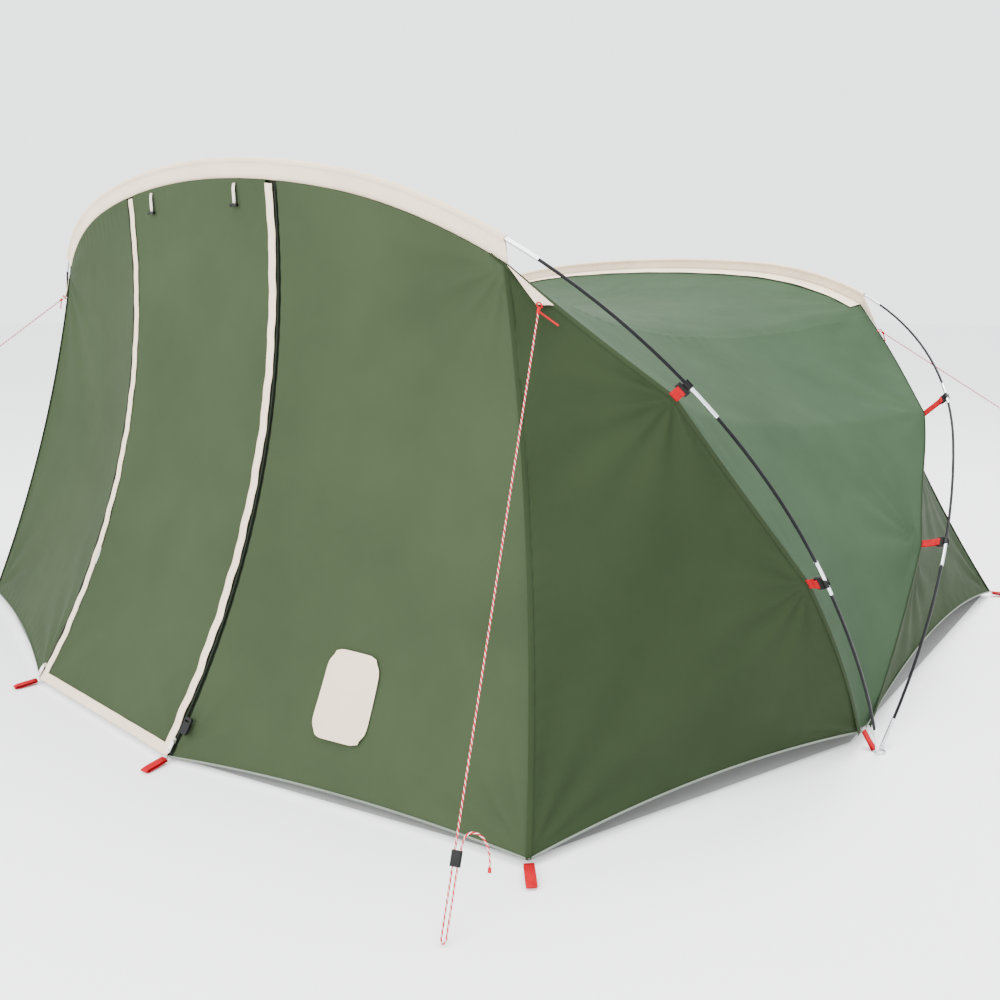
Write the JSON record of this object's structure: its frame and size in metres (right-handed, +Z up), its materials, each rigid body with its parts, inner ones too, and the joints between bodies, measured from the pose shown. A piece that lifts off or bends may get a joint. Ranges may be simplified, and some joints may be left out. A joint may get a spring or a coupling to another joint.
{
  "type": "tent on poles",
  "caption": "Family tent stretched over arched leaning poles, with sleeves, clip-on cloth, a zipped front door panel that lifts, sliding zips and tensioned guylines",
  "frame": {"origin": "on the ground, midway between the two foot rings", "axes": "+X across the tent to the right-hand foot ring, -Y out of the door, +Z up"},
  "size_m": [3.535, 2.9967, 1.5485],
  "materials": {
    "pole_rod": "satin black",
    "ferrule": "satin",
    "ring_steel": "satin",
    "cream_trim": "woven",
    "cloth_front": "coated polyester",
    "cloth_shade": "coated polyester",
    "cloth_roof": "coated polyester",
    "groundsheet": "coated sheet",
    "black_plastic": "moulded",
    "red_webbing": "woven webbing",
    "zip_coil": "coil",
    "zip_slider": "enamel",
    "zip_puller": "moulded",
    "toggle": "strap and toggle",
    "guyline": "braided cord",
    "guy_tie": "satin"
  },
  "bodies": {
    "tent": {"canopy_roof": "cloth_roof", "canopy_side_left": "cloth_roof", "canopy_side_right": "cloth_roof", "foot_ring_left": "ring_steel", "foot_ring_right": "ring_steel", "foot_strap_left": "red_webbing", "foot_strap_right": "red_webbing", "front_clip_hooks_left": "black_plastic", "front_clip_hooks_right": "black_plastic", "front_clip_straps_left": "red_webbing", "front_clip_straps_right": "red_webbing", "front_ferrules_left": "ferrule", "front_ferrules_right": "ferrule", "front_guy_ties": "guy_tie", "front_pole_left": "pole_rod", "front_pole_right": "pole_rod", "front_side_wall_left": "cloth_shade", "front_side_wall_right": "cloth_shade", "front_sleeve": "cream_trim", "front_sleeve_gusset_left": "cream_trim", "front_sleeve_gusset_right": "cream_trim", "front_wall_left": "cloth_front", "front_wall_right": "cloth_front", "groundsheet": "groundsheet", "guy_loop_front_left": "guyline", "guy_loop_rear_right": "guyline", "guy_tail_knot": "guyline", "guyline_front_left": "guyline", "guyline_front_right": "guyline", "guyline_rear_right": "guyline", "hem_buckle": "black_plastic", "peg_loops_left": "red_webbing", "peg_loops_right": "red_webbing", "rear_clip_hooks_left": "black_plastic", "rear_clip_hooks_right": "black_plastic", "rear_clip_straps_left": "red_webbing", "rear_clip_straps_right": "red_webbing", "rear_ferrules_left": "ferrule", "rear_ferrules_right": "ferrule", "rear_guy_ties": "guy_tie", "rear_pole_left": "pole_rod", "rear_pole_right": "pole_rod", "rear_side_wall_left": "cloth_shade", "rear_side_wall_right": "cloth_shade", "rear_sleeve": "cream_trim", "rear_sleeve_gusset_left": "cream_trim", "rear_sleeve_gusset_right": "cream_trim", "rear_wall": "cloth_roof", "zip_coil_left": "zip_coil", "zip_coil_right": "zip_coil"},
    "door": {"door_bindings": "cream_trim", "door_hem_band": "cream_trim", "door_panel": "cloth_front", "toggle_left": "toggle", "toggle_right": "toggle"},
    "slider_right": {"zip_slider_right": "zip_slider"},
    "puller_right": {"zip_puller_right": "zip_puller"},
    "slider_left": {"zip_slider_left": "zip_slider"},
    "puller_left": {"zip_puller_left": "zip_puller"},
    "runner": {"guy_runner": "black_plastic"}
  },
  "joints": [
    {"name": "door_swing", "type": "hinge", "parent": "tent", "child": "door", "pos_m": [0, -0.85736, 1.49358], "axis": [-1, 0, 0], "range_deg": [0, 100]},
    {"name": "zip_right", "type": "hinge", "parent": "tent", "child": "slider_right", "pos_m": [0.37341, -3.20252, 1.36453], "axis": [1, 0, 0], "range_deg": [0, 35]},
    {"name": "puller_right", "type": "hinge", "parent": "slider_right", "child": "puller_right", "pos_m": [0.37948, -1.2499, 0.05458], "axis": [-1, 0, 0], "range_deg": [0, 165]},
    {"name": "zip_left", "type": "hinge", "parent": "tent", "child": "slider_left", "pos_m": [-0.37341, -3.20252, 1.36453], "axis": [1, 0, 0], "range_deg": [0, 35]},
    {"name": "puller_left", "type": "hinge", "parent": "slider_left", "child": "puller_left", "pos_m": [-0.37948, -1.2499, 0.05458], "axis": [-1, 0, 0], "range_deg": [0, 165]},
    {"name": "guy_tension", "type": "slide", "parent": "tent", "child": "runner", "axis": [0.1862, -0.4426, -0.8772], "range_m": [0, 0.12]}
  ]
}
